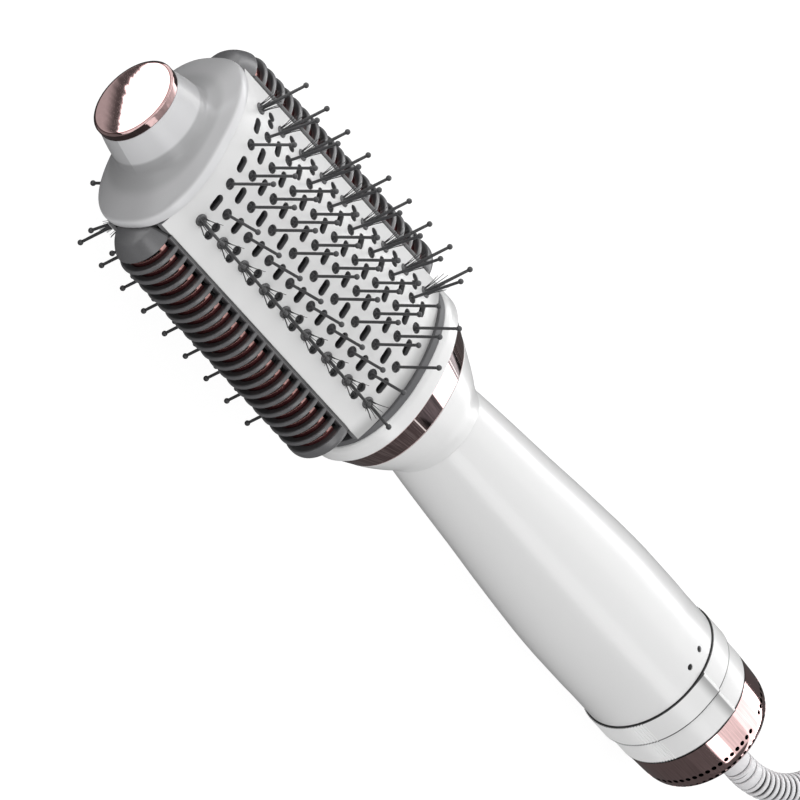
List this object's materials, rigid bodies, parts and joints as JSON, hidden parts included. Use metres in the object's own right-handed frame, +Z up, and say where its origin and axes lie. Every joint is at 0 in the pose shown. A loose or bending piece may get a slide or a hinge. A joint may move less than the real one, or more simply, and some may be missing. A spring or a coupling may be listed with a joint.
{
  "type": "hot air styler",
  "caption": "Oval hot air brush with pinned front and back, slotted side rolls, a round handle with two rotary rings, an air inlet at the tail and a swivelling mains cord.",
  "frame": {"origin": "on the table under the middle of the styler, lying on its back pins and its inlet cap, without its cord", "axes": "+X from the head to the tail, +Y towards the right side roll, +Z up out of the table"},
  "size_m": [0.6121, 0.1033, 0.0886],
  "materials": {
    "rose_gold": "polished rose-gold plating",
    "rose_liner": "rose-gold anodised",
    "grey_cap": "satin light grey",
    "white_plate": "satin white",
    "dark_pins": "satin charcoal",
    "strands": "nylon, charcoal",
    "dark_roll": "satin charcoal",
    "seal": "matte grey",
    "gloss_white": "high gloss white",
    "lamp": "smoked lens",
    "inner_plastic": "heat-resistant, dark",
    "mica": "mica card",
    "winding": "resistance wire",
    "steel": "bright",
    "fuse": "plain",
    "contacts": "bright",
    "board": "green resist",
    "wire_skin": "plain",
    "cord_grey": "satin light grey",
    "tie": "nylon strap",
    "pin_metal": "nickel plated"
  },
  "bodies": {
    "styler": {"tip_disc": "rose_gold", "neck_ring": "rose_gold", "inlet_cap": "rose_gold", "left_liner": "rose_liner", "right_liner": "rose_liner", "tip_cap": "grey_cap", "front_plate": "white_plate", "back_plate": "white_plate", "front_pins": "dark_pins", "back_pins": "dark_pins", "front_tufts": "strands", "back_tufts": "strands", "left_comb": "dark_roll", "right_comb": "dark_roll", "base_seal": "seal", "base_collar": "gloss_white", "shoulder": "gloss_white", "handle_shell": "gloss_white", "lamps": "lamp", "head_spine": "inner_plastic", "duct": "inner_plastic", "motor_holder": "inner_plastic", "control_sleeve": "inner_plastic", "swivel_socket": "inner_plastic", "inlet_filter": "inner_plastic", "heater_frame": "mica", "heater_winding": "winding", "tip_screw": "steel", "handle_screw": "steel", "motor": "steel", "detent_balls": "steel", "detent_springs": "steel", "thermostat": "steel", "thermal_fuse": "fuse", "circuit_board": "board", "wires": "wire_skin"},
    "fan": {"motor_shaft": "steel", "impeller": "inner_plastic"},
    "heat_selector": {"heat_ring": "gloss_white", "heat_contact": "contacts"},
    "speed_selector": {"speed_ring": "gloss_white", "speed_contact": "contacts"},
    "cord": {"swivel_core": "cord_grey", "strain_relief": "cord_grey", "cord_lead": "cord_grey", "cord_coil": "cord_grey", "cord_tie": "tie", "plug_body": "cord_grey", "plug_prongs": "pin_metal"}
  },
  "joints": [
    {"name": "fan_spin", "type": "hinge", "parent": "styler", "child": "fan", "pos_m": [0.1136, 0, 0.02842], "axis": [0.997, 0, -0.0773], "continuous": true},
    {"name": "heat_ring_turn", "type": "hinge", "parent": "styler", "child": "heat_selector", "pos_m": [0.13877, 0, 0.02647], "axis": [0.997, 0, -0.0773], "range_deg": [-30, 30]},
    {"name": "speed_ring_turn", "type": "hinge", "parent": "styler", "child": "speed_selector", "pos_m": [0.14959, 0, 0.02564], "axis": [0.997, 0, -0.0773], "range_deg": [-30, 30]},
    {"name": "cord_swivel", "type": "hinge", "parent": "styler", "child": "cord", "pos_m": [0.17411, 0, 0.02373], "axis": [0.997, 0, -0.0773], "continuous": true}
  ]
}
